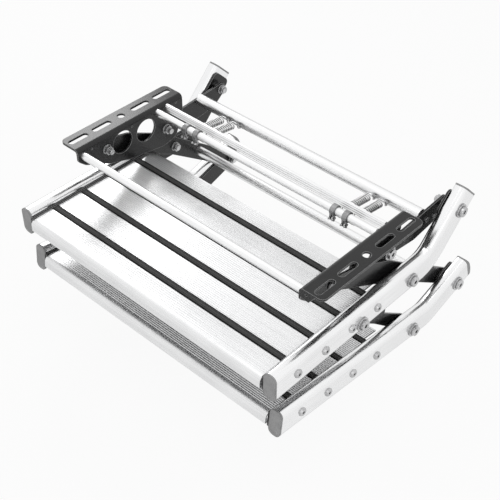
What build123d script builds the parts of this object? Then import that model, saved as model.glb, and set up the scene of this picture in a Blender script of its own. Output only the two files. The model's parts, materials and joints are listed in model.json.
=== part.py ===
from build123d import *
from math import atan2, ceil, cos, degrees, hypot, pi, radians, sin, sqrt, tan
import os

# Folding double step for a caravan door, modelled folded.
# Millimetres, +Z up, -Y to the front, X = 0 on the middle plane.
# Z = 0 is the top of the bracket flanges, Y = 0 the middle hole of each flange.

# Widths, counted outwards from the middle plane
inside_width = 494.0
bracket_wall = 4.0
link_wall = 4.0
plate_gap = 2.0
side_wall = 4.0
side_gap = 1.5
rail_width = 24.0

# Clearances
running_fit = 0.05
fixed_fit = 0.1
face_gap = 0.3

# Brackets
flange_length = 246.0
flange_reach = 46.0
bend_radius = 4.0
flange_corner = 10.0
slot_width = 12.0
slot_length = 41.0
middle_hole_radius = 7.0
inner_slot_y = 44.9
outer_slot_y = 97.4
hole_line = 28.0
web_front_depth = 36.0
web_depth = 88.0
window_radius = 22.0
front_window = (-24.0, -31.0)
rear_window = (31.5, -34.0)
lip_width = 30.0
lip_depth = 20.0
small_hole = 3.5
web_heel_behind = 24.0
web_belly_drop = 35.0
web_corner_radii = (0.5, 8.0, 14.0, 30.0, 60.0, 30.0, 22.0, 20.0, 0.5)

# Pivots of the linkage, as (y, z)
front_mount = (-60.5, -27.0)
rear_mount = (79.2, -53.4)
front_link_length = 190.1142
front_link_angle = 26.9962
front_tail_length = 187.1258
front_tail_angle = 35.6267
lower_link_length = 197.3582
lower_link_angle = 39.0356
upper_spacing_y = 128.5
upper_spacing_z = 6.2
rear_spacing_y = 121.6
rear_spacing_z = 72.6

# Links
front_end_radius = 12.0
front_body_radius = 18.0
front_body_rise = 7.0
elbow_radius = 17.0
tail_radius = 15.0
rear_mount_radius = 14.0
rear_body_radius = 20.5
rear_body_drop = 9.5
rear_neck_radius = 19.0
rear_neck_drop = 9.0
rear_end_radius = 11.5
lower_end_radius = 13.0
lower_body_radius = 17.0
lower_body_rise = 7.0
lower_foot_radius = 14.0
stud_radius = 4.6
stud_spots = ((0.7, 9.0), (0.84, 15.0))
stud_height = 1.6

# Cross members
front_rod_radius = 7.0
front_rod = (-111.0, -15.0)
spring_tube_radius = 7.0
spring_tube_wall = 1.5
spring_tube = (62.0, -11.0)
bar_thickness = 6.0
bar_height = 15.0
bar_behind = 22.5
bar_rib = 1.4
carry_tube_radius = 11.0
carry_tube_wall = 2.0
carry_reach = 96.0
carry_angle = 8.9
link_tube_radius = 9.0
link_tube_wall = 1.8
link_tube_along = 74.4

# Springs and their straps
strap_places = (-172.0, -146.0, 163.0, 188.0)
strap_width = 14.0
strap_wall = 2.6
strap_slot = 5.0
anchor_distance = 30.4
anchor_angle = 104.5
anchor_radius = 3.0
anchor_eye = 5.6
anchor_head = 3.2
anchor_nut = 3.4
anchor_tip = 4.2
wire_radius = 1.2
wire_sides = 3
coil_radius = 6.4
coil_turns = 9
coil_pitch = 4.6
coil_start = 26.0

# Rails and treads
rail_height = 51.0
rail_round = 10.0
rail_wall = 2.5
rail_bend_radius = 56.0
cap_wall = 3.0
cap_plug = 12.0
upper_front = 330.6
upper_bend = 45.0
upper_pivot_height = 0.0
upper_tail = 32.6
upper_rise = 2.3
lower_front = 343.75
lower_tilt = 6.4
lower_bend = 24.4
lower_pivot_height = -3.1
lower_tail = 31.4
lower_rise = 3.5
cap_bulge = 5.5
side_top = 12.5
side_bottom = 24.0
side_front = 1.0
side_front_corner = 12.0
side_head = 23.0
side_head_corner = 10.0

tread_top = 11.5
plank_skin = 3.4
strip_first = 50.1
strip_pitch = 63.4
strip_count = 4
strip_width = 13.0
strip_depth = 5.4
rib_pitch = 4.0
rib_height = 0.7
leg_wall = 2.5
leg_depth = 10.0
foot_length = 9.0
nose_reach = 3.3
nose_radius = 10.0
nose_drop = 22.0
last_plank = 32.5
leg_end_gap = 16.5
last_end_gap = 6.0

# Fasteners
pivot_radius = 5.0
pivot_flange = 12.5
flange_wall = 2.4
pivot_head = 9.0
head_height = 5.2
rear_mount_flange = 12.5
rear_mount_collar = 5.5
nut_size = 8.2
nut_flange = 9.0
nut_flange_wall = 1.5
nut_height = 8.0
bolt_end = 2.5
mount_bolt_end = 7.0
screw_radius = 3.0
screw_head = 7.8
screw_height = 3.2
socket_size = 2.6
head_slope = 28.0
head_sides = 16
small_sides = 10
screw_drop = 0.4

x_web = inside_width / 2
x_web_out = x_web + bracket_wall
x_rear = x_web_out + plate_gap
x_rear_out = x_rear + link_wall
x_link = x_rear_out + plate_gap
x_link_out = x_link + link_wall
x_side = x_link_out + side_gap
x_rail = x_side + side_wall
x_rail_out = x_rail + rail_width
x_hole = x_web + hole_line


def polar(point, length, angle):
    """The point that lies a length away from another, at an angle in degrees."""
    return (point[0] + length * cos(radians(angle)), point[1] + length * sin(radians(angle)))


def beside(start, end, share, rise):
    """A point part of the way from start to end, raised square to that line."""
    dy = end[0] - start[0]
    dz = end[1] - start[1]
    size = hypot(dy, dz)
    return (start[0] + share * dy - rise * dz / size, start[1] + share * dz + rise * dy / size)


elbow = polar(front_mount, front_link_length, -front_link_angle)
front_foot = polar(elbow, front_tail_length, -front_tail_angle)
upper_front_pivot = (elbow[0] - upper_spacing_y, elbow[1] - upper_spacing_z)
upper_rear_pivot = (elbow[0] + rear_spacing_y, elbow[1] + rear_spacing_z)
lower_foot = polar(upper_front_pivot, lower_link_length, -lower_link_angle)
carry_tube = polar(rear_mount, carry_reach, carry_angle)
anchor = polar(rear_mount, anchor_distance, anchor_angle)
link_tube = beside(elbow, front_foot, link_tube_along / front_tail_length, link_tube_radius / 4)

upper_place = Pos(0, elbow[0] - upper_front, elbow[1] + upper_rise)
lower_turn = Rot(-lower_tilt, 0, 0)
lower_place = Pos(0, lower_foot[0], lower_foot[1]) * lower_turn * Pos(0, -lower_front, lower_rise)


def slab(outline, x_from, x_to):
    """An outline drawn in Y and Z, made solid between two places across the width."""
    return extrude(Plane.YZ.offset(x_from) * outline, x_to - x_from)


def disc(point, radius):
    return Pos(point[0], point[1]) * Circle(radius)


def rod(point, radius, x_from, x_to):
    return slab(disc(point, radius), x_from, x_to)


def bore(point, radius):
    """A small hole for a fixed fastener, drawn with flats outside the radius."""
    return Pos(point[0], point[1]) * RegularPolygon(radius, small_sides, major_radius=False)


def ring(point, outer, inner, x_from, x_to):
    return slab(disc(point, outer) - bore(point, inner), x_from, x_to)


def flat_ring(point, outer, inner, x_from, x_to):
    outline = Pos(point[0], point[1]) * RegularPolygon(outer, head_sides)
    return slab(outline - bore(point, inner), x_from, x_to)


def hull(*rounds):
    """The outline stretched round a set of circles, each a point and a radius."""
    edges = []
    for point, radius in rounds:
        edges += disc(point, radius).edges()
    return make_hull(edges)


def other_side(shape):
    return mirror(shape, about=Plane.YZ)


def pair(shape):
    return [shape, other_side(shape)]


def save(name, shapes):
    solids = []
    for shape in shapes:
        solids += shape.solids()
    export_step(Compound(solids), "parts/" + name + ".step")


def round_head(point, seat, radius, height, sides, socket):
    """Low head that narrows outwards, with a hexagon socket."""
    base = Pos(point[0], point[1]) * RegularPolygon(radius, sides)
    body = extrude(Plane.YZ.offset(seat) * base, height, taper=head_slope)
    deep = height * 0.6
    hexagon = Pos(point[0], point[1]) * RegularPolygon(socket, 6)
    return body - slab(hexagon, seat + height - deep, seat + height)


def flanged_bolt(point, seat, tip, flange_radius=None):
    """A bolt with a wide flange and a round head, from a face at x = seat to its end at x = tip."""
    flange_radius = pivot_flange if flange_radius is None else flange_radius
    body = rod(point, pivot_radius, tip, seat)
    flange = Pos(point[0], point[1]) * RegularPolygon(flange_radius, head_sides)
    body += slab(flange, seat, seat + flange_wall)
    head = Pos(point[0], point[1]) * RegularPolygon(pivot_head, head_sides)
    hexagon = Pos(point[0], point[1]) * RegularPolygon(socket_size * 1.5, 6)
    body += slab(head, seat + flange_wall, seat + flange_wall + head_height)
    return body - slab(hexagon, seat + flange_wall + head_height * 0.5, seat + flange_wall + head_height)


def flanged_nut(point, seat):
    """A hexagon nut with its washer face at x = seat, on the side towards the middle plane."""
    hole = bore(point, pivot_radius + fixed_fit)
    washer = Pos(point[0], point[1]) * RegularPolygon(nut_flange, head_sides) - hole
    hexagon = Pos(point[0], point[1]) * RegularPolygon(nut_size, 6) - hole
    return slab(washer, seat - nut_flange_wall, seat) + slab(hexagon, seat - nut_height, seat - nut_flange_wall)


def nut_tip(seat, beyond=None):
    """Where a bolt ends that carries a nut seated at x = seat."""
    return seat - nut_height - (bolt_end if beyond is None else beyond)


def small_nut(point, x_from, x_to, size, hole):
    outline = Pos(point[0], point[1]) * RegularPolygon(size, 6) - bore(point, hole)
    return slab(outline, x_from, x_to)


def front_lip():
    """The ear turned down from the flange at its front edge."""
    lip = make_face(
        Polyline(
            (x_web_out, -bracket_wall),
            (x_web_out + lip_width * 0.87, -bracket_wall),
            (x_web_out + lip_width * 0.5, -lip_depth),
            (x_web_out, -lip_depth * 0.85),
            close=True,
        )
    )
    lip -= bore((x_web_out + lip_width / 3, -lip_depth * 0.4), small_hole / 2)
    return extrude(Plane.XZ.offset(flange_length / 2) * lip, -bracket_wall)


def bracket(with_lip):
    """Right-hand bracket: flange, rounded bend and web in one bent sheet, the lip only if asked."""
    bend_out = bend_radius + bracket_wall
    half = flange_length / 2
    x_bend = x_web + bend_out
    x_edge = x_web + flange_reach
    flat = Pos((x_bend + x_edge) / 2, 0) * Rectangle(x_edge - x_bend, flange_length)
    flat = fillet(flat.vertices().group_by(Axis.X)[-1], flange_corner)
    flange = extrude(Plane.XY.offset(-bracket_wall) * flat, bracket_wall)
    quarter = Pos(x_bend, -bend_out) * (Circle(bend_out) - Circle(bend_radius))
    quarter &= Pos(x_bend - bend_out / 2, -bend_out / 2) * Rectangle(bend_out, bend_out)
    bend = extrude(Plane.XZ.offset(-half) * quarter, flange_length)
    low = web_depth
    deep = web_front_depth
    corners = [
        (-half, -bend_out),
        (-half, -deep * 0.64),
        (-half * 0.885, -deep),
        (front_mount[0] + 8, front_mount[1] - web_belly_drop),
        (-12, -low * 0.845),
        (rear_mount[0] - 8, -low),
        (rear_mount[0] + web_heel_behind, -low * 0.94),
        (half, -low * 0.42),
        (half, -bend_out),
    ]
    web = make_face(FilletPolyline(*corners, radius=list(web_corner_radii), close=True))
    for place in (front_window, rear_window):
        web -= disc(place, window_radius)
    for place in (front_mount, rear_mount):
        web -= bore(place, pivot_radius + fixed_fit)
    for y in (-half * 0.75, 0, half * 0.87):
        web -= bore((y, -bend_out - small_hole * 0.7), small_hole / 2)
    sheet = flange + bend + slab(web, x_web, x_web_out)
    if with_lip:
        sheet += front_lip()
    cuts = Pos(x_hole, 0) * Circle(middle_hole_radius)
    for y in (inner_slot_y, outer_slot_y):
        for side in (-1, 1):
            cuts += Pos(x_hole, side * y) * Rot(0, 0, 90) * SlotOverall(slot_length, slot_width)
    return sheet - extrude(Plane.XY.offset(-2 * bracket_wall) * cuts, 3 * bracket_wall)


def strap(x):
    """A strap closed round the spring tube, forked below for the spring's hook."""
    outline = hull((spring_tube, spring_tube_radius + strap_wall), (anchor, anchor_eye))
    outline -= disc(spring_tube, spring_tube_radius + running_fit)
    outline -= bore(anchor, anchor_radius + fixed_fit)
    body = slab(outline, x - strap_width / 2, x + strap_width / 2)
    lean = degrees(atan2(anchor[1] - spring_tube[1], anchor[0] - spring_tube[0]))
    far = hypot(anchor[1] - spring_tube[1], anchor[0] - spring_tube[0])
    near = spring_tube_radius + strap_wall
    fork = Pos(*spring_tube) * Rot(0, 0, lean) * Pos(near + far / 2, 0) * Rectangle(far, 4 * anchor_eye)
    return body - slab(fork, x - strap_slot / 2, x + strap_slot / 2)


def strap_bolt(x):
    tip = x - strap_width / 2 - anchor_tip
    seat = x + strap_width / 2
    head = Pos(*anchor) * RegularPolygon(anchor_eye, 6)
    return rod(anchor, anchor_radius, tip, seat) + slab(head, seat, seat + anchor_head)


def strap_nut(x):
    face = x - strap_width / 2
    return small_nut(anchor, face - anchor_nut, face, anchor_eye, anchor_radius + fixed_fit)


def cross_bar():
    """Flat bar behind the spring tube, with three ribs along its front face."""
    y = spring_tube[0] + bar_behind
    z = spring_tube[1]
    outline = Pos(y, z) * RectangleRounded(bar_thickness, bar_height, 1.0)
    for step in (-1, 0, 1):
        rib = Pos(y - bar_thickness / 2, z + step * bar_height / 3.4) * RegularPolygon(bar_rib, 4)
        outline += rib
    return slab(outline, -x_web, x_web)


def front_link():
    hump = beside(front_mount, elbow, 0.3, front_body_rise)
    shoulder = beside(front_mount, elbow, 0.78, front_body_rise)
    upper = hull(
        (front_mount, front_end_radius),
        (hump, front_body_radius),
        (shoulder, front_body_radius),
        (elbow, elbow_radius),
    )
    outline = upper + hull((elbow, elbow_radius), (front_foot, tail_radius))
    for place in (front_mount, elbow, front_foot):
        outline -= disc(place, pivot_radius + running_fit)
    return slab(outline, x_link, x_link_out)


def rear_link():
    middle = beside(rear_mount, upper_rear_pivot, 0.5, -rear_body_drop)
    neck = beside(rear_mount, upper_rear_pivot, 0.82, -rear_neck_drop)
    outline = hull(
        (rear_mount, rear_mount_radius),
        (middle, rear_body_radius),
        (neck, rear_neck_radius),
        (upper_rear_pivot, rear_end_radius),
    )
    outline -= disc(rear_mount, pivot_radius + running_fit)
    outline -= bore(upper_rear_pivot, pivot_radius + fixed_fit)
    return slab(outline, x_rear, x_rear_out)


def lower_link():
    start = beside(upper_front_pivot, lower_foot, 0.2, lower_body_rise)
    finish = beside(upper_front_pivot, lower_foot, 0.55, lower_body_rise)
    outline = hull(
        (upper_front_pivot, lower_end_radius), (start, lower_body_radius), (finish, lower_body_radius)
    )
    middle = beside(upper_front_pivot, lower_foot, 0.55, 0)
    outline += hull((middle, lower_body_radius - lower_body_rise), (lower_foot, lower_foot_radius))
    outline -= disc(upper_front_pivot, pivot_radius + running_fit)
    outline -= bore(lower_foot, pivot_radius + fixed_fit)
    return slab(outline, x_link, x_link_out)


def rear_studs():
    """Two low rivets on the outer face of the rear link."""
    spots = []
    for share, drop in stud_spots:
        spots.append(beside(rear_mount, upper_rear_pivot, share, -drop))
    return [slab(bore(spot, stud_radius), x_rear_out, x_rear_out + stud_height) for spot in spots]


def arc_through(start, tangent_point, end):
    """The arc that leaves start and reaches end with both tangents through one point."""
    middle = (start + end) * 0.5
    half = (end - start).length / 2
    out = tangent_point - middle
    rise = out.length
    sag = half * tan(atan2(rise, half) / 2)
    return ThreePointArc(start, middle + out * (sag / rise), end)


def biarc(start, start_way, end, end_way):
    """Two arcs that join two points and keep the direction at each."""
    run = end - start
    ways = start_way + end_way
    a = 2 * (start_way.dot(end_way) - 1)
    b = -2 * run.dot(ways)
    c = run.dot(run)
    reach = -c / b if abs(a) < 1e-9 else (-b - sqrt(b * b - 4 * a * c)) / (2 * a)
    if reach < 0:
        reach = (-b + sqrt(b * b - 4 * a * c)) / (2 * a)
    first = start + start_way * reach
    second = end - end_way * reach
    joint = (first + second) * 0.5
    return [arc_through(start, first, joint), arc_through(joint, second, end)]


def spring_path():
    """The wire's centre line, drawn along +Y from the anchor with the hooks in the YZ plane."""
    span = hypot(carry_tube[0] - anchor[0], carry_tube[1] - anchor[1])
    eye = anchor_radius + face_gap + wire_radius
    bow = carry_tube_radius + face_gap + wire_radius
    finish = coil_start + coil_turns * coil_pitch
    rate = coil_pitch / (2 * pi * coil_radius)
    scale = 1 / sqrt(1 + rate * rate)
    points = []
    ways = []
    for half_turn in range(2 * coil_turns + 1):
        angle = pi * half_turn
        y = coil_start + coil_pitch * half_turn / 2
        points.append(Vector(coil_radius * sin(angle), y, coil_radius * cos(angle)))
        ways.append(Vector(cos(angle), rate, -sin(angle)) * scale)
    edges = []
    # hook round the anchor bolt: from above it, round its front, to a shank that climbs to the coil
    top = Vector(0, 0, eye)
    edges.append(ThreePointArc(top, Vector(0, -eye, 0), Vector(0, 0, -eye)))
    low = Vector(0, 0, -eye)
    lead = Vector(0, coil_start * 0.45, -eye * 0.55)
    level = Vector(0, 1, 0)
    edges += biarc(low, level, lead, level)
    edges += biarc(lead, level, points[0], ways[0])
    for k in range(2 * coil_turns):
        edges += biarc(points[k], ways[k], points[k + 1], ways[k + 1])
    # shank from the coil down to the hook that passes under the carrying tube
    under = Vector(0, span, -bow)
    edges += biarc(points[-1], ways[-1], Vector(0, (finish + span) / 2, -bow * 0.85), level)
    edges += biarc(Vector(0, (finish + span) / 2, -bow * 0.85), level, under, level)
    edges.append(ThreePointArc(under, Vector(0, span + bow, 0), Vector(0, span, bow)))
    return edges


def spring(x):
    edges = spring_path()
    path = Wire([part.edge() for part in edges])
    start = edges[0] @ 0
    across = Plane(origin=start, x_dir=(1, 0, 0), z_dir=edges[0] % 0)
    section = across * RegularPolygon(wire_radius, wire_sides)
    wound = sweep(section, path=path)
    lean = degrees(atan2(carry_tube[1] - anchor[1], carry_tube[0] - anchor[0]))
    return Pos(x, anchor[0], anchor[1]) * Rot(lean, 0, 0) * wound


def least_wire_gap():
    """The least gap of the spring's wire to itself, on points along the centre line."""
    points = []
    travel = []
    total = 0.0
    for edge in spring_path():
        steps = max(3, ceil(edge.length / 0.8))
        for k in range(steps):
            points.append(edge @ (k / steps))
            travel.append(total + edge.length * k / steps)
        total += edge.length
    least = 1e9
    for i in range(len(points)):
        for j in range(i + 1, len(points)):
            if travel[j] - travel[i] > 4 * pi * wire_radius:
                least = min(least, (points[j] - points[i]).length)
    return least - 2 * wire_radius


def rail_turn(corner, bend, height):
    """Where an edge at a height beside the rail's axis enters, crosses and leaves the bend."""
    start = corner - rail_bend_radius * tan(radians(bend) / 2)
    radius = rail_bend_radius - height
    places = []
    for share in (0, 0.5, 1):
        angle = radians(bend) * share
        places.append((start + radius * sin(angle), rail_bend_radius - radius * cos(angle)))
    return places


def rail_end(corner, bend, end, height):
    """A point at a height beside the axis, at a distance past the corner."""
    angle = radians(bend)
    return (
        corner + end * cos(angle) - height * sin(angle),
        end * sin(angle) + height * cos(angle),
    )


def band(front, corner, bend, end, low, high):
    """The outline that follows the rail's axis between two heights."""
    under = rail_turn(corner, bend, low)
    over = rail_turn(corner, bend, high)
    under_end = rail_end(corner, bend, end, low)
    over_end = rail_end(corner, bend, end, high)
    edges = [
        Line((front, low), under[0]),
        ThreePointArc(*under),
        Line(under[2], under_end),
        Line(under_end, over_end),
        Line(over_end, over[2]),
        ThreePointArc(over[2], over[1], over[0]),
        Line(over[0], (front, high)),
        Line((front, high), (front, low)),
    ]
    return make_face(edges)


def rail_mouth(inset):
    """The tube's inside, with its corners cut at 45 degrees."""
    inside = Rectangle(rail_width - 2 * inset, rail_height - 2 * inset)
    return chamfer(inside.vertices(), (rail_round - rail_wall) * 0.6)


def rail(corner, bend, end):
    """Oval tube, straight from behind the front cap, then bent up."""
    x = (x_rail + x_rail_out) / 2
    last = rail_end(corner, bend, end, 0)
    path = FilletPolyline((x, cap_wall, 0), (x, corner, 0), (x, last[0], last[1]), radius=rail_bend_radius)
    section = RectangleRounded(rail_width, rail_height, rail_round)
    section -= rail_mouth(rail_wall)
    plane = Plane(origin=(x, cap_wall, 0), x_dir=(1, 0, 0), z_dir=(0, 1, 0))
    return sweep(plane * section, path=path)


def cap(bulge):
    """Plastic end cap that grows along +Y from the tube's mouth, with its plug behind it."""
    x = (x_rail + x_rail_out) / 2
    face = Plane(origin=(x, 0, 0), x_dir=(1, 0, 0), z_dir=(0, 1, 0))
    body = extrude(face * RectangleRounded(rail_width, rail_height, rail_round), cap_wall + bulge)
    if bulge > 0:
        half = rail_height / 2
        crown = (half * half + bulge * bulge) / (2 * bulge)
        body &= rod((cap_wall + bulge - crown, 0), crown, x_rail, x_rail_out)
    return body + extrude(face * rail_mouth(rail_wall + fixed_fit), -cap_plug)


def strip_middle(number):
    return strip_first + number * strip_pitch


def plank_edges(number):
    """Where a plank starts and ends along the rail."""
    half = strip_width / 2
    start = -nose_reach if number == 0 else strip_middle(number - 1) + half
    end = strip_middle(number) - half if number < strip_count else start + last_plank
    return start, end


def ribbed_skin(start, end):
    """The plank's top wall with its ribs, seen from the side."""
    flat = tread_top - rib_height
    count = int((end - start - rib_pitch * 0.5) // rib_pitch)
    first = (start + end - count * rib_pitch) / 2
    line = [(start, tread_top - plank_skin), (start, flat)]
    for k in range(count):
        left = first + (k + 0.2) * rib_pitch
        line += [
            (left, flat),
            (left + rib_pitch * 0.15, tread_top),
            (left + rib_pitch * 0.45, tread_top),
            (left + rib_pitch * 0.6, flat),
        ]
    line += [(end, flat), (end, tread_top - plank_skin)]
    return make_face(Polyline(*line, close=True))


def nose():
    """The first plank's rolled front edge, seen from the side."""
    front = -nose_reach
    wall = plank_skin - rib_height
    top = tread_top - rib_height
    inner = nose_radius - wall
    slant = sin(radians(45))
    low = tread_top - nose_drop
    edges = [
        ThreePointArc(
            (front + nose_radius, top),
            (front + nose_radius * (1 - slant), top - nose_radius * (1 - slant)),
            (front, top - nose_radius),
        ),
        Line((front, top - nose_radius), (front, low)),
        Line((front, low), (front + foot_length, low)),
        Line((front + foot_length, low), (front + foot_length, low + wall)),
        Line((front + foot_length, low + wall), (front + wall, low + wall)),
        Line((front + wall, low + wall), (front + wall, top - nose_radius)),
        ThreePointArc(
            (front + wall, top - nose_radius),
            (front + nose_radius - inner * slant, top - nose_radius + inner * slant),
            (front + nose_radius, top - wall),
        ),
        Line((front + nose_radius, top - wall), (front + nose_radius, top)),
    ]
    return make_face(edges)


def legs(number):
    """Side walls under a plank, with feet and the ledges that carry the rubber strips."""
    start, end = plank_edges(number)
    under = tread_top - plank_skin
    shelf = tread_top - strip_depth
    low = under - leg_depth
    reach = strip_width / 2 - fixed_fit
    outline = Sketch()
    sides = []
    if number > 0:
        sides.append((start, 1))
    sides.append((end, -1))
    for edge, inward in sides:
        outline += Pos(edge + inward * leg_wall / 2, (under + low) / 2) * Rectangle(leg_wall, under - low)
        outline += Pos(edge + inward * foot_length / 2, low + 1) * Rectangle(foot_length, 2)
        at_strip = number < strip_count or inward > 0
        if at_strip:
            outline += Pos(edge - inward * reach / 2, shelf - 1) * Rectangle(reach, 2)
            between = Pos(edge + inward * leg_wall / 2, (shelf - 1 + under) / 2)
            outline += between * Rectangle(leg_wall, abs(under - shelf) + 2)
    return outline


def plank(number):
    start, end = plank_edges(number)
    reach = x_side - last_end_gap if number == strip_count else x_side
    if number == 0:
        top = ribbed_skin(start + nose_radius, end) + nose()
    else:
        top = ribbed_skin(start, end)
    inner = x_side - leg_end_gap
    return slab(top, -reach, reach) + slab(legs(number), -inner, inner)


def strip(number):
    """Rubber strip with three ridges, lying between two planks."""
    middle = strip_middle(number)
    half = strip_width / 2
    low = tread_top - strip_depth
    line = [(middle - half, low), (middle - half, tread_top)]
    for k in range(3):
        left = middle - half + strip_width * (k + 0.18) / 3
        right = middle - half + strip_width * (k + 0.82) / 3
        line += [(left, tread_top), (left, tread_top + 0.6), (right, tread_top + 0.6), (right, tread_top)]
    line += [(middle + half, tread_top), (middle + half, low)]
    return slab(make_face(Polyline(*line, close=True)), -x_side, x_side)


def rail_screw(number):
    """Button-head screw through the rail and the side plate at a rubber strip."""
    spot = (strip_middle(number), -screw_drop)
    body = slab(bore(spot, screw_radius), x_side, x_rail_out)
    return body + round_head(spot, x_rail_out, screw_head, screw_height, small_sides + 2, socket_size)


def rail_corner(place, pivot, bend, height):
    """The rail's corner, and the way from there to the last pivot, which lies at a height by the axis."""
    local = (place.inverse() * Pos(0, pivot[0], pivot[1])).position
    angle = radians(bend)
    past = (local.Z - height * cos(angle)) / sin(angle)
    return local.Y - past * cos(angle) + height * sin(angle), past


def side_outline(corner, bend, past, height):
    """The side plate: a band along the rail, and a rounded square end round the last pivot."""
    outline = band(side_front, corner, bend, past, -side_bottom, side_top)
    front = outline.vertices().group_by(Axis.X)[0]
    outline = fillet(front.group_by(Axis.Y)[0], side_front_corner)
    head = rail_end(corner, bend, past, height * 0.5)
    square = RectangleRounded(2 * side_head, 2 * side_head, side_head_corner)
    return outline + Pos(*head) * Rot(0, 0, bend) * square


def make_step(name, place, bend, height, tail, bulge, through, stopped, last_pivot):
    """One tread with its rails. Bolts at through carry a link, those at stopped end in the plate."""
    pivots = through + stopped
    corner, past = rail_corner(place, last_pivot, bend, height)
    end = past + tail
    tube = rail(corner, bend, end)
    side = slab(side_outline(corner, bend, past, height), x_side, x_rail)
    for number in range(strip_count):
        spot = (strip_middle(number), -screw_drop)
        tube -= slab(bore(spot, screw_radius + fixed_fit), x_rail - 1, x_rail_out + 1)
        side -= slab(bore(spot, screw_radius + fixed_fit), x_side - 1, x_rail + 1)
    tube = place * tube
    side = place * side
    for spot in pivots:
        tube -= slab(bore(spot, pivot_radius + fixed_fit), x_rail - 1, x_rail_out + 1)
        side -= slab(bore(spot, pivot_radius + fixed_fit), x_side - 1, x_rail + 1)
    save(name + "_rail_right", [tube])
    save(name + "_rail_left", [other_side(tube)])
    save(name + "_side_plates", pair(side))
    front_cap = place * Pos(0, cap_wall, 0) * mirror(cap(0), about=Plane.XZ)
    last = rail_end(corner, bend, end, 0)
    rear_cap = place * Pos(0, last[0], last[1]) * Rot(bend, 0, 0) * cap(bulge)
    save(name + "_front_caps", pair(front_cap))
    save(name + "_rear_caps", pair(rear_cap))
    for number in range(strip_count + 1):
        save(name + "_plank_" + str(number + 1), [place * plank(number)])
    save(name + "_strips", [place * strip(number) for number in range(strip_count)])
    screws = []
    for number in range(strip_count):
        screws += pair(place * rail_screw(number))
    save(name + "_screws", screws)
    bolts = []
    nuts = []
    for spot in through:
        bolts += pair(flanged_bolt(spot, x_rail_out, nut_tip(x_link - face_gap)))
        nuts += pair(flanged_nut(spot, x_link - face_gap))
    for spot in stopped:
        bolts += pair(flanged_bolt(spot, x_rail_out, x_side))
    save(name + "_pivot_bolts", bolts)
    save(name + "_pivot_nuts", nuts)


def bush(point, x_head, x_from, x_to):
    """A fixed pin with a wide collar on the outside of a link."""
    collar = Pos(point[0], point[1]) * RegularPolygon(pivot_head, head_sides)
    return slab(bore(point, pivot_radius), x_head, x_from + 1) + slab(collar, x_from, x_to)


os.makedirs("parts", exist_ok=True)

save("right_bracket", [bracket(True)])
save("left_bracket", [other_side(bracket(False))])
save("front_rod", [rod(front_rod, front_rod_radius, -x_web, x_web)])
spring_bore = spring_tube_radius - spring_tube_wall
save("spring_tube", [ring(spring_tube, spring_tube_radius, spring_bore, -x_web, x_web)])
save("cross_bar", [cross_bar()])
save("spring_straps", [strap(x) for x in strap_places])
save("strap_bolts", [strap_bolt(x) for x in strap_places])
save("strap_nuts", [strap_nut(x) for x in strap_places])

front_seat = x_link_out + face_gap
rear_seat = x_rear_out + face_gap
mount_tip = nut_tip(x_web, mount_bolt_end)
collar_end = rear_seat + rear_mount_collar
bracket_bolts = pair(flanged_bolt(front_mount, front_seat, mount_tip))
bracket_bolts += pair(flanged_bolt(rear_mount, collar_end, mount_tip, rear_mount_flange))
save("bracket_bolts", bracket_bolts)
bracket_nuts = pair(flanged_nut(front_mount, x_web)) + pair(flanged_nut(rear_mount, x_web))
save("bracket_nuts", bracket_nuts)
clear = pivot_radius + fixed_fit
spacers = pair(flat_ring(front_mount, pivot_head, clear, x_web_out, x_link - face_gap))
spacers += pair(flat_ring(rear_mount, pivot_head, clear, x_web_out, x_rear - face_gap))
spacers += pair(flat_ring(rear_mount, pivot_head, clear, rear_seat, collar_end))
save("bracket_spacers", spacers)

right_front_link = front_link()
save("front_link_right", [right_front_link])
save("front_link_left", [other_side(right_front_link)])
tube_bore = link_tube_radius - link_tube_wall
save("front_link_tube", [ring(link_tube, link_tube_radius, tube_bore, -x_link, x_link)])

right_rear_link = rear_link()
save("rear_link_right", [right_rear_link])
save("rear_link_left", [other_side(right_rear_link)])
save("rear_link_studs", [side for stud in rear_studs() for side in pair(stud)])
carry_bore = carry_tube_radius - carry_tube_wall
save("rear_link_tube", [ring(carry_tube, carry_tube_radius, carry_bore, -x_rear, x_rear)])
rear_bush = bush(upper_rear_pivot, nut_tip(x_rear), x_rear_out, x_side - face_gap)
save("rear_link_bushes", pair(rear_bush))
save("rear_link_nuts", pair(flanged_nut(upper_rear_pivot, x_rear)))

save("springs", [spring(x) for x in strap_places])

right_lower_link = lower_link()
save("lower_link_right", [right_lower_link])
save("lower_link_left", [other_side(right_lower_link)])
lower_bush = bush(lower_foot, nut_tip(x_link), x_link_out, x_side - face_gap)
save("lower_link_bushes", pair(lower_bush))
save("lower_link_nuts", pair(flanged_nut(lower_foot, x_link)))

make_step(
    "upper", upper_place, upper_bend, upper_pivot_height, upper_tail, 0,
    [upper_front_pivot, elbow], [upper_rear_pivot], upper_rear_pivot,
)
make_step(
    "lower", lower_place, lower_bend, lower_pivot_height, lower_tail, cap_bulge,
    [front_foot], [lower_foot], front_foot,
)

print("least gap of a spring's wire to itself: %.2f mm" % least_wire_gap())
pivots = {
    "front_mount": front_mount,
    "rear_mount": rear_mount,
    "elbow": elbow,
    "front_foot": front_foot,
    "upper_front_pivot": upper_front_pivot,
    "upper_rear_pivot": upper_rear_pivot,
    "lower_foot": lower_foot,
    "carry_tube": carry_tube,
    "anchor": anchor,
}
for name, place in pivots.items():
    print("%s %.4f %.4f" % (name, place[0], place[1]))
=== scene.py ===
import json
from math import atan2, cos, hypot, pi, radians, sin

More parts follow.
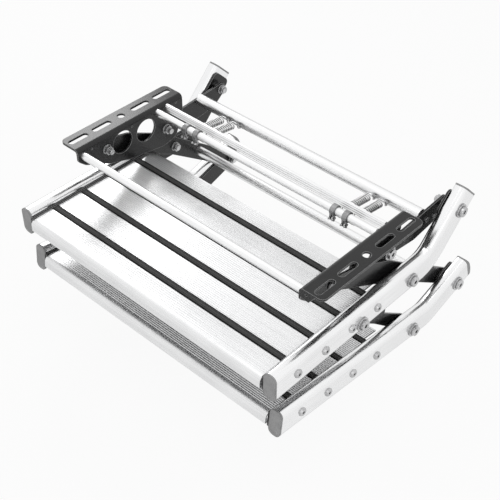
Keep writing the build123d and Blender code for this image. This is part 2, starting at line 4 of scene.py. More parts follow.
import bpy
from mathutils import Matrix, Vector


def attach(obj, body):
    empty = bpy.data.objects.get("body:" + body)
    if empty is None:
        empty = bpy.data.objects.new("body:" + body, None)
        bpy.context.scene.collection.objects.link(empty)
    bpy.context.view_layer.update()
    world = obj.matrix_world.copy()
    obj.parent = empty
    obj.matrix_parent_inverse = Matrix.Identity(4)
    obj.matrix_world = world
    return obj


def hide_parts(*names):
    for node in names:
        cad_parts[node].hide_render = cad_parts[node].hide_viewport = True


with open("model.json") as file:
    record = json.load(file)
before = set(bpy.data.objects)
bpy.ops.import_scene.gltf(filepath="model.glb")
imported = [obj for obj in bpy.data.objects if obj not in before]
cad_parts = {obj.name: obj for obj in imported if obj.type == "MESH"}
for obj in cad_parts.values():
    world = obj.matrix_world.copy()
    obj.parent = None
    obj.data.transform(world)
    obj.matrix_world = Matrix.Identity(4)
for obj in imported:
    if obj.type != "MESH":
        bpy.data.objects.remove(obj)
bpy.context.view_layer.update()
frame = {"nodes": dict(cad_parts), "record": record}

# Lengths are in metres and angles in degrees, except where a line turns them into something else.

# Camera: the view of the photograph, taken as 500 x 500, with the lens and sensor in millimetres
TARGET = Vector((0.1398, -0.1112, 0.0))
AZIMUTH = radians(42.93)
ELEVATION = radians(40.69)
DISTANCE = 1.5729
LENS = 75.37
SENSOR_WIDTH = 36.0

# Places in the part, as (y, z), and the radii there
ANCHOR = (0.0715884, -0.0239683)
ANCHOR_RADIUS = 0.003
CARRY_TUBE = (0.1740441, -0.0385478)
CARRY_TUBE_RADIUS = 0.011
SPRING_TUBE = (0.062, -0.011)
SPRING_TUBE_RADIUS = 0.007
SPRING_PLACES = (-0.172, -0.146, 0.163, 0.188)

# Straps: a band round the spring tube, two lugs to the anchor bolt and two tabs in front.
# Inner and outer are distances from the strap's middle plane.
BAND_WALL = 0.0026
BAND_WIDTH = 0.009
BAND_FIT = 0.00015
BAND_STEPS = 40
LUG_OUTER = 0.007
LUG_INNER = 0.0026
LUG_EYE = 0.0056
LUG_FIT = 0.0004
LUG_SPREAD = 60
LUG_STEPS = 12
TAB_WALL = 0.0026
TAB_OUTER = BAND_WIDTH / 2 + 0.0006
TAB_INNER = 0.0016
TAB_FRONT = SPRING_TUBE[0] - 0.0076
TAB_BACK = TAB_FRONT + TAB_WALL
TAB_LOW = SPRING_TUBE[1] - 0.0175
TAB_FRONT_TOP = SPRING_TUBE[1] - 0.0035
TAB_BACK_TOP = SPRING_TUBE[1] - 0.0069
STRAP_EDGE = 0.0003

# Clamp screws through the tabs. Front and back are reaches from the tab's two faces.
SCREW_Z = -0.0245
SCREW_SIDE = 0.0034
SCREW_RADIUS = 0.0012
SCREW_FRONT = 0.0046
SCREW_BACK = 0.0036
HEAD_RADIUS = 0.0023
HEAD_FRONT = 0.0030
NUT_RADIUS = 0.0022
NUT_BACK = 0.0022
SEAT_GAP = 0.0001
SHANK_CHAMFER = 0.0003
HEAD_CHAMFER = 0.0004
SCREW_EDGE = 0.0002
ROUND_SIDES = 12
HEX_SIDES = 6

# Springs, along the line from the anchor bolt to the carrying tube
WIRE_RADIUS = 0.00115
HOOK_GAP = 0.0003
COIL_RADIUS = 0.0062
COIL_TURNS = 12
COIL_START = 0.026
COIL_END = 0.080
POINTS_PER_TURN = 16
EYE_STEPS = 12
HOOK_STEPS = 8
LEAD_STEPS = 14
LEAD_PULL = 0.55

# Rails and treads: where they bend and lean, and where the rubber strips lie
UPPER_CORNER_Y = 0.160
LOWER_CORNER_Y = 0.180
HALF_CORNER = 0.02
UPPER_BEND = 45.0
LOWER_TILT = 6.4
LOWER_BEND = 24.4
UPPER_FIRST_STRIP = -0.1716
LOWER_FIRST_STRIP = -0.1336
STRIP_PITCH = 0.0634
STRIPS_BEFORE_ZERO = 10
MARGIN = (0.0095, 0.0110)
KNURL_PITCH = 0.0030
CUT_PITCH = 0.0020
RUBBER_PITCH = 0.0028

# Colours, each a darker and a lighter end
RAIL_TONES = ((0.85, 0.852, 0.857), (0.93, 0.932, 0.935))
TUBE_TONES = ((0.87, 0.872, 0.876), (0.95, 0.952, 0.954))
TREAD_TONES = ((0.76, 0.762, 0.767), (0.88, 0.882, 0.885))
COAT_TONES = ((0.006, 0.006, 0.0063), (0.012, 0.012, 0.0125))
CAP_TONES = ((0.31, 0.31, 0.312), (0.38, 0.38, 0.381))
RUBBER_TONES = ((0.020, 0.020, 0.020), (0.040, 0.040, 0.040))
STEEL_TONES = ((0.44, 0.44, 0.445), (0.68, 0.68, 0.685))
SCREW_TONES = ((0.40, 0.40, 0.405), (0.62, 0.62, 0.625))
STRAP_TONES = ((0.22, 0.22, 0.223), (0.38, 0.38, 0.383))
CLAMP_TONES = ((0.44, 0.44, 0.445), (0.70, 0.70, 0.705))
WIRE_TONES = ((0.80, 0.80, 0.805), (0.93, 0.93, 0.935))

# Colours of edges, hollows and worn or dusty spots. The bright edge colours are painted highlight, on
# aluminium and the coat mixed with wear; the seam, groove, rim, hollow, corner and wire-gap colours are
# painted shade
ALUMINIUM_EDGE_WEAR_AND_HIGHLIGHT = (0.95, 0.952, 0.955)
ALUMINIUM_SEAM_SHADE = (0.20, 0.20, 0.205)
KNURL_DOT = (0.58, 0.584, 0.59)
TREAD_GROOVE_SHADE = (0.30, 0.30, 0.305)
TREAD_EDGE_HIGHLIGHT = (0.94, 0.942, 0.945)
COAT_DUST = (0.045, 0.0445, 0.044)
COAT_WEAR_AND_HIGHLIGHT = (0.44, 0.44, 0.442)
CAP_RIM_SHADE = (0.045, 0.045, 0.046)
RUBBER_HOLLOW_SHADE = (0.004, 0.004, 0.004)
RUBBER_WORN = (0.10, 0.10, 0.10)
RUBBER_BORDER = (0.002, 0.002, 0.002)
ZINC_CORNER_SHADE = (0.05, 0.05, 0.051)
ZINC_EDGE_HIGHLIGHT = (0.90, 0.90, 0.905)
WIRE_GAP_SHADE = (0.010, 0.010, 0.011)
WIRE_HOOK = (0.30, 0.30, 0.305)

# Sampling in the edge and hollow nodes, and how nearly a normal still counts as flat
BEVEL_SAMPLES = 8
COARSE_SHADE = 16
FINE_SHADE = 32
EDGE_LIMIT = 0.985

# Roughness, from the glossiest to the dullest spot
RAIL_ROUGH = (0.16, 0.24)
TUBE_ROUGH = (0.28, 0.36)
TREAD_ROUGH = (0.34, 0.50)
COAT_ROUGH = (0.20, 0.32)
CAP_ROUGH = (0.42, 0.60)
RUBBER_ROUGH = (0.46, 0.64)
STEEL_ROUGH = (0.20, 0.36)
SCREW_ROUGH = (0.18, 0.32)
STRAP_ROUGH = (0.30, 0.44)
CLAMP_ROUGH = (0.20, 0.34)
WIRE_ROUGH = (0.22, 0.38)

# Floor, just under the unfolded step's lowest point, and the light all round
FLOOR_Z = -0.352
FLOOR_HALF = 8.0
FLOOR_COLOR = (0.86, 0.86, 0.86, 1)
FLOOR_GLOW = 0.92
WHITE = (1, 1, 1, 1)
AMBIENT = 0.55
BACKDROP = 1.0


def make_camera():
    data = bpy.data.cameras.new("camera")
    data.lens = LENS
    data.sensor_width = SENSOR_WIDTH
    data.clip_start = 0.01
    data.clip_end = 50.0
    camera = bpy.data.objects.new("camera", data)
    bpy.context.scene.collection.objects.link(camera)
    away = Vector((sin(AZIMUTH) * cos(ELEVATION), -cos(AZIMUTH) * cos(ELEVATION), sin(ELEVATION)))
    camera.location = TARGET + away * DISTANCE
    camera.rotation_euler = (-away).to_track_quat("-Z", "Y").to_euler()
    bpy.context.scene.camera = camera


# Nodes. Most of these functions return a socket, so that calls can be nested.

def make_material(name, build, *values):
    """A material whose nodes are made by one of the finish functions."""
    material = bpy.data.materials.new(name)
    material.use_nodes = True
    tree = material.node_tree
    tree.nodes.clear()
    build(tree, *values)
    return material


def link(tree, a, b):
    tree.links.new(a, b)


def principled(tree, color, metallic, roughness, rim=0.8):
    """The shader, with plain values under what is linked later. Metal is darker at its rim."""
    out = tree.nodes.new("ShaderNodeOutputMaterial")
    shader = tree.nodes.new("ShaderNodeBsdfPrincipled")
    shader.inputs["Base Color"].default_value = (*color, 1.0)
    shader.inputs["Metallic"].default_value = metallic
    shader.inputs["Roughness"].default_value = roughness
    if metallic:
        shader.inputs["Specular Tint"].default_value = (rim, rim, rim, 1.0)
    link(tree, shader.outputs["BSDF"], out.inputs["Surface"])
    return shader


def place(tree, stretch=(1, 1, 1), lean=0.0):
    """The point on the part, in a frame that leans up from +Y, with each axis stretched."""
    coord = tree.nodes.new("ShaderNodeTexCoord")
    mapping = tree.nodes.new("ShaderNodeMapping")
    mapping.vector_type = "TEXTURE"
    mapping.inputs["Rotation"].default_value = (radians(lean), 0, 0)
    mapping.inputs["Scale"].default_value = [1 / s for s in stretch]
    link(tree, coord.outputs["Object"], mapping.inputs["Vector"])
    return mapping.outputs["Vector"]


def noise(tree, per_metre, detail=3.0, rough=0.5, stretch=(1, 1, 1), lean=0.0):
    texture = tree.nodes.new("ShaderNodeTexNoise")
    texture.inputs["Scale"].default_value = per_metre
    texture.inputs["Detail"].default_value = detail
    texture.inputs["Roughness"].default_value = rough
    link(tree, place(tree, stretch, lean), texture.inputs["Vector"])
    return texture.outputs["Fac"]


def axis(tree, name, lean=0.0):
    """One coordinate of the point on the part."""
    split = tree.nodes.new("ShaderNodeSeparateXYZ")
    link(tree, place(tree, lean=lean), split.inputs["Vector"])
    return split.outputs[name]


def math(tree, operation, a, b=None):
    """The result of a calculation, where each of a and b is a socket or a number."""
    node = tree.nodes.new("ShaderNodeMath")
    node.operation = operation
    for socket, value in zip(node.inputs, (a, b)):
        if value is None:
            continue
        if isinstance(value, (int, float)):
            socket.default_value = value
        else:
            link(tree, value, socket)
    return node.outputs["Value"]


def weighted(tree, a, weight_a, b, weight_b):
    """The sum of two sockets, each times its weight."""
    return math(tree, "ADD", math(tree, "MULTIPLY", a, weight_a), math(tree, "MULTIPLY", b, weight_b))


def ramp(tree, fac, low, high, start=0.0, end=1.0):
    """From low to high as fac goes from start to end, and level outside."""
    node = tree.nodes.new("ShaderNodeMapRange")
    node.inputs["From Min"].default_value = start
    node.inputs["From Max"].default_value = end
    node.inputs["To Min"].default_value = low
    node.inputs["To Max"].default_value = high
    link(tree, fac, node.inputs["Value"])
    return node.outputs["Result"]


def rise(tree, fac, start, end):
    return ramp(tree, fac, 0.0, 1.0, start, end)


def fall(tree, fac, start, end):
    return ramp(tree, fac, 1.0, 0.0, start, end)


def waves(tree, coordinate, pitch):
    """Even waves from 0 to 1 along a coordinate."""
    return rise(tree, math(tree, "SINE", math(tree, "MULTIPLY", coordinate, 2 * pi / pitch)), -1.0, 1.0)


def color_mix(tree, fac, a, b):
    """From a to b, each a triple or the result of another mix."""
    node = tree.nodes.new("ShaderNodeMix")
    node.data_type = "RGBA"
    for name, value in (("A", a), ("B", b)):
        socket = [s for s in node.inputs if s.name == name and s.type == "RGBA"][0]
        if isinstance(value, tuple):
            socket.default_value = (*value, 1.0)
        else:
            link(tree, value, socket)
    link(tree, fac, node.inputs["Factor"])
    return [s for s in node.outputs if s.type == "RGBA"][0]


def number_mix(tree, fac, a, b):
    node = tree.nodes.new("ShaderNodeMix")
    node.data_type = "FLOAT"
    link(tree, fac, node.inputs["Factor"])
    link(tree, a, node.inputs["A"])
    link(tree, b, node.inputs["B"])
    return node.outputs["Result"]


def rounded(tree, radius):
    """The normal of an edge with a small round on it."""
    bevel = tree.nodes.new("ShaderNodeBevel")
    bevel.samples = BEVEL_SAMPLES
    bevel.inputs["Radius"].default_value = radius
    return bevel.outputs["Normal"]


def edge_mask(tree, normal, sharp=0.82):
    """1 along edges and 0 on faces, from how far the rounded normal has turned."""
    geometry = tree.nodes.new("ShaderNodeNewGeometry")
    dot = tree.nodes.new("ShaderNodeVectorMath")
    dot.operation = "DOT_PRODUCT"
    link(tree, normal, dot.inputs[0])
    link(tree, geometry.outputs["Normal"], dot.inputs[1])
    return fall(tree, dot.outputs["Value"], sharp, EDGE_LIMIT)


def hollow_shade(tree, distance, samples=COARSE_SHADE):
    """Near 1 in the open and near 0 in grooves and corners."""
    shade = tree.nodes.new("ShaderNodeAmbientOcclusion")
    shade.samples = samples
    shade.inputs["Distance"].default_value = distance
    return shade.outputs["AO"]


def set_color(tree, shader, color):
    link(tree, color, shader.inputs["Base Color"])


def set_roughness(tree, shader, fac, rough, start=0.3, end=0.7):
    """Roughness from the first to the second of a pair as fac goes from start to end."""
    link(tree, ramp(tree, fac, *rough, start, end), shader.inputs["Roughness"])


def bump(tree, shader, height, strength, distance, normal=None):
    node = tree.nodes.new("ShaderNodeBump")
    node.inputs["Strength"].default_value = strength
    node.inputs["Distance"].default_value = distance
    link(tree, height, node.inputs["Height"])
    if normal is not None:
        link(tree, normal, node.inputs["Normal"])
    link(tree, node.outputs["Normal"], shader.inputs["Normal"])


# Finishes

def brushed(tree, along, lean=0.0):
    """Fine drawn lines and broader streaks along one axis."""
    fine = (1.0, 0.012, 1.0) if along == "Y" else (0.012, 1.0, 1.0)
    broad = (1.0, 0.05, 1.0) if along == "Y" else (0.05, 1.0, 1.0)
    lines = noise(tree, 1900, 2, 0.6, fine, lean)
    streaks = noise(tree, 240, 3, 0.55, broad, lean)
    return lines, streaks


def aluminium(tree, shader, lines, streaks, tones, rough, round_off, shade_hollows):
    """Colour, gloss, drawn lines, handling marks, painted shade in grooves, and bright edges that are
    partly worn and partly a painted highlight.
    """
    cloud = noise(tree, 11, 3, 0.55)
    smudge = noise(tree, 46, 4, 0.6)
    color = color_mix(tree, rise(tree, weighted(tree, streaks, 0.55, cloud, 0.45), 0.32, 0.68), *tones)
    # painted highlight along the edges, mixed with wear
    edge_highlight = edge_mask(tree, rounded(tree, round_off))
    color = color_mix(tree, edge_highlight, color, ALUMINIUM_EDGE_WEAR_AND_HIGHLIGHT)
    # painted shade in seams, grooves and corners, where asked for
    if shade_hollows:
        seam_shade = fall(tree, hollow_shade(tree, 0.003, FINE_SHADE), 0.25, 0.60)
        color = color_mix(tree, seam_shade, color, ALUMINIUM_SEAM_SHADE)
    set_color(tree, shader, color)
    set_roughness(tree, shader, weighted(tree, lines, 0.5, smudge, 0.5), rough)
    bump(tree, shader, math(tree, "ADD", lines, math(tree, "MULTIPLY", streaks, 0.6)), 0.15, 0.000012)


def rail_finish(tree, corner, front_lean, rear_lean):
    """Drawn lines that follow the rail on both sides of its bend."""
    shader = principled(tree, (0.8, 0.8, 0.81), 1.0, 0.2)
    rear = rise(tree, axis(tree, "Y"), corner - HALF_CORNER, corner + HALF_CORNER)
    front_lines, front_streaks = brushed(tree, "Y", front_lean)
    rear_lines, rear_streaks = brushed(tree, "Y", rear_lean)
    lines = number_mix(tree, rear, front_lines, rear_lines)
    streaks = number_mix(tree, rear, front_streaks, rear_streaks)
    aluminium(tree, shader, lines, streaks, RAIL_TONES, RAIL_ROUGH, 0.0006, False)


def tube_finish(tree):
    """Bright drawn tube across the width, darker towards its rim."""
    shader = principled(tree, (0.82, 0.82, 0.83), 1.0, 0.16, 0.5)
    lines, streaks = brushed(tree, "X")
    # True turns on painted shade in the tube's seams and corners
    aluminium(tree, shader, lines, streaks, TUBE_TONES, TUBE_ROUGH, 0.0004, True)


def from_strip(tree, lean, first):
    """How far the point lies along the tread from the middle of the nearest rubber strip."""
    # whole pitches are added, so that the distance is positive everywhere on the tread
    along = math(tree, "ADD", axis(tree, "Y", lean), STRIPS_BEFORE_ZERO * STRIP_PITCH - first)
    return math(tree, "PINGPONG", along, STRIP_PITCH / 2)


def tread_finish(tree, lean, first):
    """Ribbed plank with lines along it, a fine knurl across its ribs, smooth margins, painted shade in its
    grooves and a painted highlight along its edges.
    """
    shader = principled(tree, (0.84, 0.84, 0.85), 1.0, 0.3)
    lines, streaks = brushed(tree, "X", lean)
    inner = rise(tree, from_strip(tree, lean, first), *MARGIN)
    knurl = waves(tree, axis(tree, "X", lean), KNURL_PITCH)
    cuts = waves(tree, axis(tree, "Y", lean), CUT_PITCH)
    cloud = noise(tree, 9, 3, 0.55)
    smudge = noise(tree, 38, 4, 0.6)
    color = color_mix(tree, rise(tree, weighted(tree, streaks, 0.5, cloud, 0.5), 0.34, 0.66), *TREAD_TONES)
    dots = math(tree, "MULTIPLY", math(tree, "MULTIPLY", knurl, cuts), inner)
    color = color_mix(tree, ramp(tree, dots, 0.0, 0.32), color, KNURL_DOT)
    # painted shade in the grooves and corners of the tread
    groove_shade = fall(tree, hollow_shade(tree, 0.0016, FINE_SHADE), 0.35, 0.74)
    color = color_mix(tree, math(tree, "MULTIPLY", groove_shade, 0.8), color, TREAD_GROOVE_SHADE)
    # painted highlight along the edges
    edge_highlight = edge_mask(tree, rounded(tree, 0.0004))
    set_color(tree, shader, color_mix(tree, edge_highlight, color, TREAD_EDGE_HIGHLIGHT))
    set_roughness(tree, shader, weighted(tree, lines, 0.5, smudge, 0.5), TREAD_ROUGH)
    ribs = math(tree, "MULTIPLY", knurl, inner)
    bump(tree, shader, weighted(tree, ribs, 0.8, lines, 0.25), 0.25, 0.00014)


def black_coat(tree):
    """Glossy black powder coat: fine orange peel, faint dust and lighter edges that are partly rubbed and
    partly a painted highlight.
    """
    shader = principled(tree, (0.03, 0.03, 0.031), 0.0, 0.45)
    shader.inputs["Specular IOR Level"].default_value = 0.4
    peel = noise(tree, 1500, 2, 0.5)
    grain = noise(tree, 620, 3, 0.6)
    cloud = noise(tree, 14, 4, 0.6)
    dust = noise(tree, 90, 5, 0.65)
    color = color_mix(tree, rise(tree, cloud, 0.35, 0.65), *COAT_TONES)
    color = color_mix(tree, ramp(tree, dust, 0.0, 0.35, 0.55, 0.8), color, COAT_DUST)
    normal = rounded(tree, 0.0016)
    # the lighter edges are partly wear and partly a painted highlight
    worn = math(tree, "MULTIPLY", edge_mask(tree, normal, 0.88), ramp(tree, grain, 0.6, 1.0, 0.35, 0.6))
    set_color(tree, shader, color_mix(tree, worn, color, COAT_WEAR_AND_HIGHLIGHT))
    set_roughness(tree, shader, grain, COAT_ROUGH)
    bump(tree, shader, math(tree, "ADD", peel, math(tree, "MULTIPLY", grain, 0.7)), 0.2, 0.00006, normal)


def grey_plastic(tree):
    """Moulded cap with a fine etched grain and a darker rim of painted shade where it meets the tube."""
    shader = principled(tree, (0.2, 0.2, 0.2), 0.0, 0.5)
    etch = noise(tree, 1800, 2, 0.5)
    cloud = noise(tree, 60, 3, 0.5)
    normal = rounded(tree, 0.0009)
    color = color_mix(tree, rise(tree, cloud, 0.35, 0.65), *CAP_TONES)
    # the darker rim is painted shade
    set_color(tree, shader, color_mix(tree, edge_mask(tree, normal, 0.7), color, CAP_RIM_SHADE))
    set_roughness(tree, shader, etch, CAP_ROUGH)
    bump(tree, shader, etch, 0.25, 0.00008, normal)


def rubber(tree, lean, first):
    """Black rubber strip: dull, worn grey along its middle, with dark edges, painted shade in its hollows
    and a slanting knurl.
    """
    shader = principled(tree, (0.02, 0.02, 0.02), 0.0, 0.6)
    shader.inputs["Specular IOR Level"].default_value = 0.16
    lines = noise(tree, 900, 2, 0.5, (0.03, 1.0, 1.0), lean)
    grain = noise(tree, 1400, 2, 0.5)
    knurl = waves(tree, math(tree, "ADD", axis(tree, "X", lean), axis(tree, "Y", lean)), RUBBER_PITCH)
    dust = noise(tree, 70, 4, 0.6)
    color = color_mix(tree, rise(tree, dust, 0.4, 0.7), *RUBBER_TONES)
    # painted shade in the hollows
    open_spot = rise(tree, hollow_shade(tree, 0.0012), 0.45, 0.8)
    color = color_mix(tree, open_spot, RUBBER_HOLLOW_SHADE, color)
    middle = fall(tree, from_strip(tree, lean, first), 0.0034, 0.0046)
    worn = math(tree, "MULTIPLY", ramp(tree, knurl, 0.45, 1.0, 0.4, 0.9), middle)
    color = color_mix(tree, worn, color, RUBBER_WORN)
    border = rise(tree, from_strip(tree, lean, first), 0.0038, 0.0046)
    set_color(tree, shader, color_mix(tree, border, color, RUBBER_BORDER))
    set_roughness(tree, shader, lines, RUBBER_ROUGH)
    height = math(tree, "ADD", math(tree, "ADD", lines, knurl), math(tree, "MULTIPLY", grain, 0.6))
    bump(tree, shader, height, 0.35, 0.00018, rounded(tree, 0.0005))


def zinc(tree, tones, rough):
    """Zinc plate: mottled, with a painted highlight on its edges and painted shade in its corners."""
    shader = principled(tree, tones[1], 1.0, 0.3)
    spangle = noise(tree, 520, 2, 0.5)
    cloud = noise(tree, 70, 3, 0.6)
    fine = noise(tree, 2600, 2, 0.5)
    tone = weighted(tree, spangle, 0.5, cloud, 0.5)
    color = color_mix(tree, rise(tree, tone, 0.38, 0.62), *tones)
    # painted shade in the corners
    corner = fall(tree, hollow_shade(tree, 0.004), 0.30, 0.85)
    color = color_mix(tree, corner, color, ZINC_CORNER_SHADE)
    normal = rounded(tree, 0.0003)
    # painted highlight along the edges
    set_color(tree, shader, color_mix(tree, edge_mask(tree, normal), color, ZINC_EDGE_HIGHLIGHT))
    set_roughness(tree, shader, tone, rough, 0.35, 0.65)
    bump(tree, shader, math(tree, "ADD", fine, spangle), 0.2, 0.00006, normal)


def wire(tree):
    """Drawn spring wire: painted shade between the turns, dull on the hooks and bright on the crests."""
    shader = principled(tree, (0.6, 0.6, 0.61), 1.0, 0.28)
    spots = noise(tree, 800, 3, 0.6)
    color = color_mix(tree, rise(tree, spots, 0.35, 0.65), *WIRE_TONES)
    # these coordinates are the spring's own, with Y along it and its middle line at X = Z = 0
    across = axis(tree, "X")
    up = axis(tree, "Z")
    square = math(tree, "ADD", math(tree, "MULTIPLY", across, across), math(tree, "MULTIPLY", up, up))
    # painted shade between the turns, wherever the wire lies inside its crests
    crest = rise(tree, math(tree, "SQRT", square), COIL_RADIUS + 0.0003, COIL_RADIUS + 0.0008)
    color = color_mix(tree, crest, WIRE_GAP_SHADE, color)
    along = axis(tree, "Y")
    before = fall(tree, along, COIL_START - 0.002, COIL_START)
    after = rise(tree, along, COIL_END, COIL_END + 0.002)
    set_color(tree, shader, color_mix(tree, math(tree, "MAXIMUM", before, after), color, WIRE_HOOK))
    set_roughness(tree, shader, spots, WIRE_ROUGH)
    bump(tree, shader, spots, 0.15, 0.00005)


def finishes():
    """Give each node its finish: by the start of its name where it has its own, else by its slot."""
    screw = make_material("screw_steel", zinc, SCREW_TONES, SCREW_ROUGH)
    lower_rear = LOWER_BEND - LOWER_TILT
    by_name = {
        "upper_rail": make_material("upper_rail", rail_finish, UPPER_CORNER_Y, 0.0, UPPER_BEND),
        "lower_rail": make_material("lower_rail", rail_finish, LOWER_CORNER_Y, -LOWER_TILT, lower_rear),
        "upper_plank": make_material("upper_tread", tread_finish, 0.0, UPPER_FIRST_STRIP),
        "lower_plank": make_material("lower_tread", tread_finish, -LOWER_TILT, LOWER_FIRST_STRIP),
        "upper_strips": make_material("upper_rubber", rubber, 0.0, UPPER_FIRST_STRIP),
        "lower_strips": make_material("lower_rubber", rubber, -LOWER_TILT, LOWER_FIRST_STRIP),
        "upper_screws": screw,
        "lower_screws": screw,
    }
    by_slot = {
        "black_coat": make_material("black_coat", black_coat),
        "grey_plastic": make_material("grey_plastic", grey_plastic),
        "steel": make_material("steel", zinc, STEEL_TONES, STEEL_ROUGH),
        "polished_aluminium": make_material("tube_aluminium", tube_finish),
        "tread_aluminium": by_name["upper_plank"],
        "rubber_strip": by_name["upper_strips"],
    }
    slots = {part["node"]: part["material_slot"] for part in frame["record"]["subparts"]}
    for node, obj in frame["nodes"].items():
        material = by_slot[slots[node]]
        for start, special in by_name.items():
            if node.startswith(start):
                material = special
        obj.data.materials.clear()
        obj.data.materials.append(material)


# Springs

def bend(start, start_way, end, end_way):
    """Points of a smooth lead between two ends, without the ends."""
    reach = (end - start).length
    out = start + start_way.normalized() * reach * LEAD_PULL
    back = end - end_way.normalized() * reach * LEAD_PULL
    points = []
    for k in range(1, LEAD_STEPS):
        t = k / LEAD_STEPS
        u = 1 - t
        points.append(start * u ** 3 + out * 3 * u * u * t + back * 3 * u * t * t + end * t ** 3)
    return points


def spring_line():
    """Points of one spring's wire as (across, along, up): eye, lead, coil, lead and hook."""
    span = hypot(CARRY_TUBE[0] - ANCHOR[0], CARRY_TUBE[1] - ANCHOR[1])
    eye = ANCHOR_RADIUS + HOOK_GAP + WIRE_RADIUS
    bow = CARRY_TUBE_RADIUS + HOOK_GAP + WIRE_RADIUS
    points = []
    for k in range(EYE_STEPS + 1):
        angle = pi / 2 + pi * k / EYE_STEPS
        points.append(Vector((0, eye * cos(angle), eye * sin(angle))))
    total = COIL_TURNS * POINTS_PER_TURN
    coil = []
    for k in range(total + 1):
        angle = 2 * pi * k / POINTS_PER_TURN
        along = COIL_START + (COIL_END - COIL_START) * k / total
        coil.append(Vector((COIL_RADIUS * sin(angle), along, COIL_RADIUS * cos(angle))))
    ahead = Vector((0, 1, 0))
    points += bend(points[-1], ahead, coil[0], coil[1] - coil[0])
    points += coil
    points += bend(coil[-1], coil[-1] - coil[-2], Vector((0, span, -bow)), ahead)
    for k in range(HOOK_STEPS + 1):
        angle = -pi / 2 + pi / 2 * k / HOOK_STEPS
        points.append(Vector((0, span + bow * cos(angle), bow * sin(angle))))
    return points


def make_springs():
    material = make_material("spring_wire", wire)
    lean = atan2(CARRY_TUBE[1] - ANCHOR[1], CARRY_TUBE[0] - ANCHOR[0])
    line = spring_line()
    for number, x in enumerate(SPRING_PLACES, 1):
        name = "spring_" + str(number)
        curve = bpy.data.curves.new(name, "CURVE")
        curve.dimensions = "3D"
        curve.bevel_depth = WIRE_RADIUS
        curve.bevel_resolution = 2
        curve.use_fill_caps = True
        spline = curve.splines.new("POLY")
        spline.points.add(len(line) - 1)
        for point, spot in zip(spline.points, line):
            point.co = (*spot, 1)
        spline.use_smooth = True
        curve.materials.append(material)
        obj = bpy.data.objects.new(name, curve)
        obj.location = (x, *ANCHOR)
        obj.rotation_euler = (lean, 0, 0)
        bpy.context.scene.collection.objects.link(obj)
        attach(obj, "springs")
        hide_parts("springs")


# Straps and their screws

class Shape:
    """Corners and faces of one piece."""

    def __init__(self):
        self.corners = []
        self.faces = []

    def prism(self, lower, upper):
        """Two matching outlines joined by their sides and closed at both ends."""
        base = len(self.corners)
        count = len(lower)
        self.corners += list(lower) + list(upper)
        self.faces.append(tuple(base + k for k in reversed(range(count))))
        self.faces.append(tuple(base + count + k for k in range(count)))
        for k in range(count):
            after = (k + 1) % count
            self.faces.append((base + k, base + after, base + count + after, base + count + k))

    def along_y(self, x, z, radius, sides, start, end, chamfer):
        """A round or hexagon bar along Y, with its ends narrowed."""
        narrow = radius - chamfer
        stations = [(start, narrow), (start + chamfer, radius), (end - chamfer, radius), (end, narrow)]
        base = len(self.corners)
        for y, size in stations:
            for k in range(sides):
                angle = 2 * pi * k / sides
                self.corners.append((x + size * cos(angle), y, z + size * sin(angle)))
        for row in range(len(stations) - 1):
            for k in range(sides):
                a = base + row * sides + k
                b = base + row * sides + (k + 1) % sides
                self.faces.append((a, a + sides, b + sides, b))
        last = base + (len(stations) - 1) * sides
        self.faces.append(tuple(base + k for k in range(sides)))
        self.faces.append(tuple(last + k for k in reversed(range(sides))))

    def make(self, name, material, body, edge):
        """The object, with its edges rounded."""
        mesh = bpy.data.meshes.new(name)
        mesh.from_pydata(self.corners, [], self.faces)
        mesh.validate()
        mesh.materials.append(material)
        obj = bpy.data.objects.new(name, mesh)
        bpy.context.scene.collection.objects.link(obj)
        rounding = obj.modifiers.new("edge_highlight", "BEVEL")
        rounding.width = edge
        rounding.segments = 2
        rounding.limit_method = "ANGLE"
        rounding.angle_limit = radians(35)
        mesh.shade_smooth()
        obj.modifiers.new("normals", "WEIGHTED_NORMAL")
        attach(obj, body)
        return obj


def around(centre, radius, angle):
    """The point (y, z) on a circle, at an angle in radians up from +Y."""
    return (centre[0] + radius * cos(angle), centre[1] + radius * sin(angle))


def add_ring(shape, x):
    """The closed band round the spring tube."""
    inner = SPRING_TUBE_RADIUS + BAND_FIT
    outer = inner + BAND_WALL
    half = BAND_WIDTH / 2
    section = ((-half, inner), (half, inner), (half, outer), (-half, outer))
    base = len(shape.corners)
    for k in range(BAND_STEPS):
        for side, radius in section:
            shape.corners.append((x + side, *around(SPRING_TUBE, radius, 2 * pi * k / BAND_STEPS)))
    for k in range(BAND_STEPS):
        here = base + 4 * k
        there = base + 4 * ((k + 1) % BAND_STEPS)
        for j in range(4):
            turn = (j + 1) % 4
            shape.faces.append((here + j, here + turn, there + turn, there + j))


def add_plates(shape, x, inner, outer, outline):
    """One flat plate on each side of the middle, with an outline in (y, z)."""
    for low, high in ((-outer, -inner), (inner, outer)):
        shape.prism([(x + low, y, z) for y, z in outline], [(x + high, y, z) for y, z in outline])


def lug_outline():
    """From the band down and back to the anchor bolt."""
    way = atan2(ANCHOR[1] - SPRING_TUBE[1], ANCHOR[0] - SPRING_TUBE[0])
    near = SPRING_TUBE_RADIUS + LUG_FIT
    outline = []
    for k in range(LUG_STEPS + 1):
        turn = LUG_SPREAD - 2 * LUG_SPREAD * k / LUG_STEPS
        outline.append(around(SPRING_TUBE, near, way + radians(turn)))
    for k in range(LUG_STEPS + 1):
        turn = -90 + 180 * k / LUG_STEPS
        outline.append(around(ANCHOR, LUG_EYE, way + radians(turn)))
    return outline


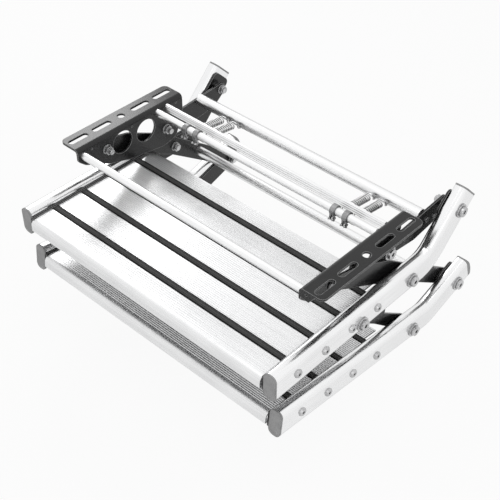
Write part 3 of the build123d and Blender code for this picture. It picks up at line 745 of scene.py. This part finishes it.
def make_straps():
    band = make_material("strap_steel", zinc, STRAP_TONES, STRAP_ROUGH)
    bright = make_material("clamp_steel", zinc, CLAMP_TONES, CLAMP_ROUGH)
    lug = lug_outline()
    tab = [(TAB_FRONT, TAB_FRONT_TOP), (TAB_FRONT, TAB_LOW), (TAB_BACK, TAB_LOW), (TAB_BACK, TAB_BACK_TOP)]
    bars = (
        (SCREW_RADIUS, ROUND_SIDES, TAB_FRONT - SCREW_FRONT, TAB_BACK + SCREW_BACK, SHANK_CHAMFER),
        (HEAD_RADIUS, HEX_SIDES, TAB_FRONT - HEAD_FRONT, TAB_FRONT - SEAT_GAP, HEAD_CHAMFER),
        (NUT_RADIUS, HEX_SIDES, TAB_BACK + SEAT_GAP, TAB_BACK + NUT_BACK, HEAD_CHAMFER),
    )
    for number, x in enumerate(SPRING_PLACES, 1):
        strap = Shape()
        add_ring(strap, x)
        add_plates(strap, x, LUG_INNER, LUG_OUTER, lug)
        add_plates(strap, x, TAB_INNER, TAB_OUTER, tab)
        piece = strap.make("strap_" + str(number), band, "brackets", STRAP_EDGE)
        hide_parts("spring_straps")
        screws = Shape()
        for side in (-SCREW_SIDE, SCREW_SIDE):
            for bar in bars:
                screws.along_y(x + side, SCREW_Z, *bar)
        screws.make("clamp_screws_" + str(number), bright, "brackets", SCREW_EDGE)


# Floor, world and lamps

def seen_directly(tree):
    """1 for rays from the camera and for those mirrored or passed through."""
    paths = tree.nodes.new("ShaderNodeLightPath")
    total = math(tree, "ADD", paths.outputs["Is Camera Ray"], paths.outputs["Is Glossy Ray"])
    total = math(tree, "ADD", total, paths.outputs["Is Transmission Ray"])
    return math(tree, "MINIMUM", total, 1.0)


def shader_mix(tree, fac, a, b):
    node = tree.nodes.new("ShaderNodeMixShader")
    link(tree, fac, node.inputs["Fac"])
    link(tree, a, node.inputs[1])
    link(tree, b, node.inputs[2])
    return node.outputs["Shader"]


def floor_finish(tree):
    """Pale and matt with a white look from above, and clear from below."""
    out = tree.nodes.new("ShaderNodeOutputMaterial")
    matte = tree.nodes.new("ShaderNodeBsdfDiffuse")
    matte.inputs["Color"].default_value = FLOOR_COLOR
    glow = tree.nodes.new("ShaderNodeEmission")
    glow.inputs["Color"].default_value = WHITE
    glow.inputs["Strength"].default_value = 1.0
    clear = tree.nodes.new("ShaderNodeBsdfTransparent")
    side = tree.nodes.new("ShaderNodeNewGeometry")
    share = math(tree, "MULTIPLY", seen_directly(tree), FLOOR_GLOW)
    top = shader_mix(tree, share, matte.outputs["BSDF"], glow.outputs["Emission"])
    both = shader_mix(tree, side.outputs["Backfacing"], top, clear.outputs["BSDF"])
    link(tree, both, out.inputs["Surface"])


def make_floor():
    mesh = bpy.data.meshes.new("floor")
    corners = [(x * FLOOR_HALF, y * FLOOR_HALF, FLOOR_Z) for x, y in ((-1, -1), (1, -1), (1, 1), (-1, 1))]
    mesh.from_pydata(corners, [], [(0, 1, 2, 3)])
    mesh.materials.append(make_material("floor", floor_finish))
    floor = bpy.data.objects.new("floor", mesh)
    bpy.context.scene.collection.objects.link(floor)


def background(tree, strength):
    node = tree.nodes.new("ShaderNodeBackground")
    node.inputs["Color"].default_value = WHITE
    node.inputs["Strength"].default_value = strength
    return node.outputs["Background"]


def make_world():
    world = bpy.data.worlds.new("world")
    bpy.context.scene.world = world
    world.use_nodes = True
    tree = world.node_tree
    tree.nodes.clear()
    out = tree.nodes.new("ShaderNodeOutputWorld")
    mix = shader_mix(tree, seen_directly(tree), background(tree, AMBIENT), background(tree, BACKDROP))
    link(tree, mix, out.inputs["Surface"])


def make_lamp(name, spot, target, width, height, power):
    data = bpy.data.lights.new(name, "AREA")
    data.shape = "RECTANGLE"
    data.size = width
    data.size_y = height
    data.energy = power
    lamp = bpy.data.objects.new(name, data)
    lamp.location = spot
    way = Vector(target) - Vector(spot)
    lamp.rotation_euler = way.to_track_quat("-Z", "Y").to_euler()
    bpy.context.scene.collection.objects.link(lamp)


def make_lamps():
    # a soft box behind on the left, whose mirror image lies on the left flange
    make_lamp("back_left", (-1.36, 0.72, 0.88), (-0.20, 0.0, -0.05), 0.42, 0.50, 4.8)
    # a broad soft box overhead, and a weak one from the front on the right
    make_lamp("overhead", (0.2, -0.3, 1.9), (0.0, 0.0, -0.1), 1.4, 1.2, 7.5)
    make_lamp("front_right", (1.6, -1.0, 0.5), (0.1, 0.0, -0.1), 0.8, 0.8, 3.0)


make_camera()
finishes()
make_springs()
make_straps()
make_floor()
make_world()
make_lamps()
bpy.context.scene.view_settings.view_transform = "Standard"
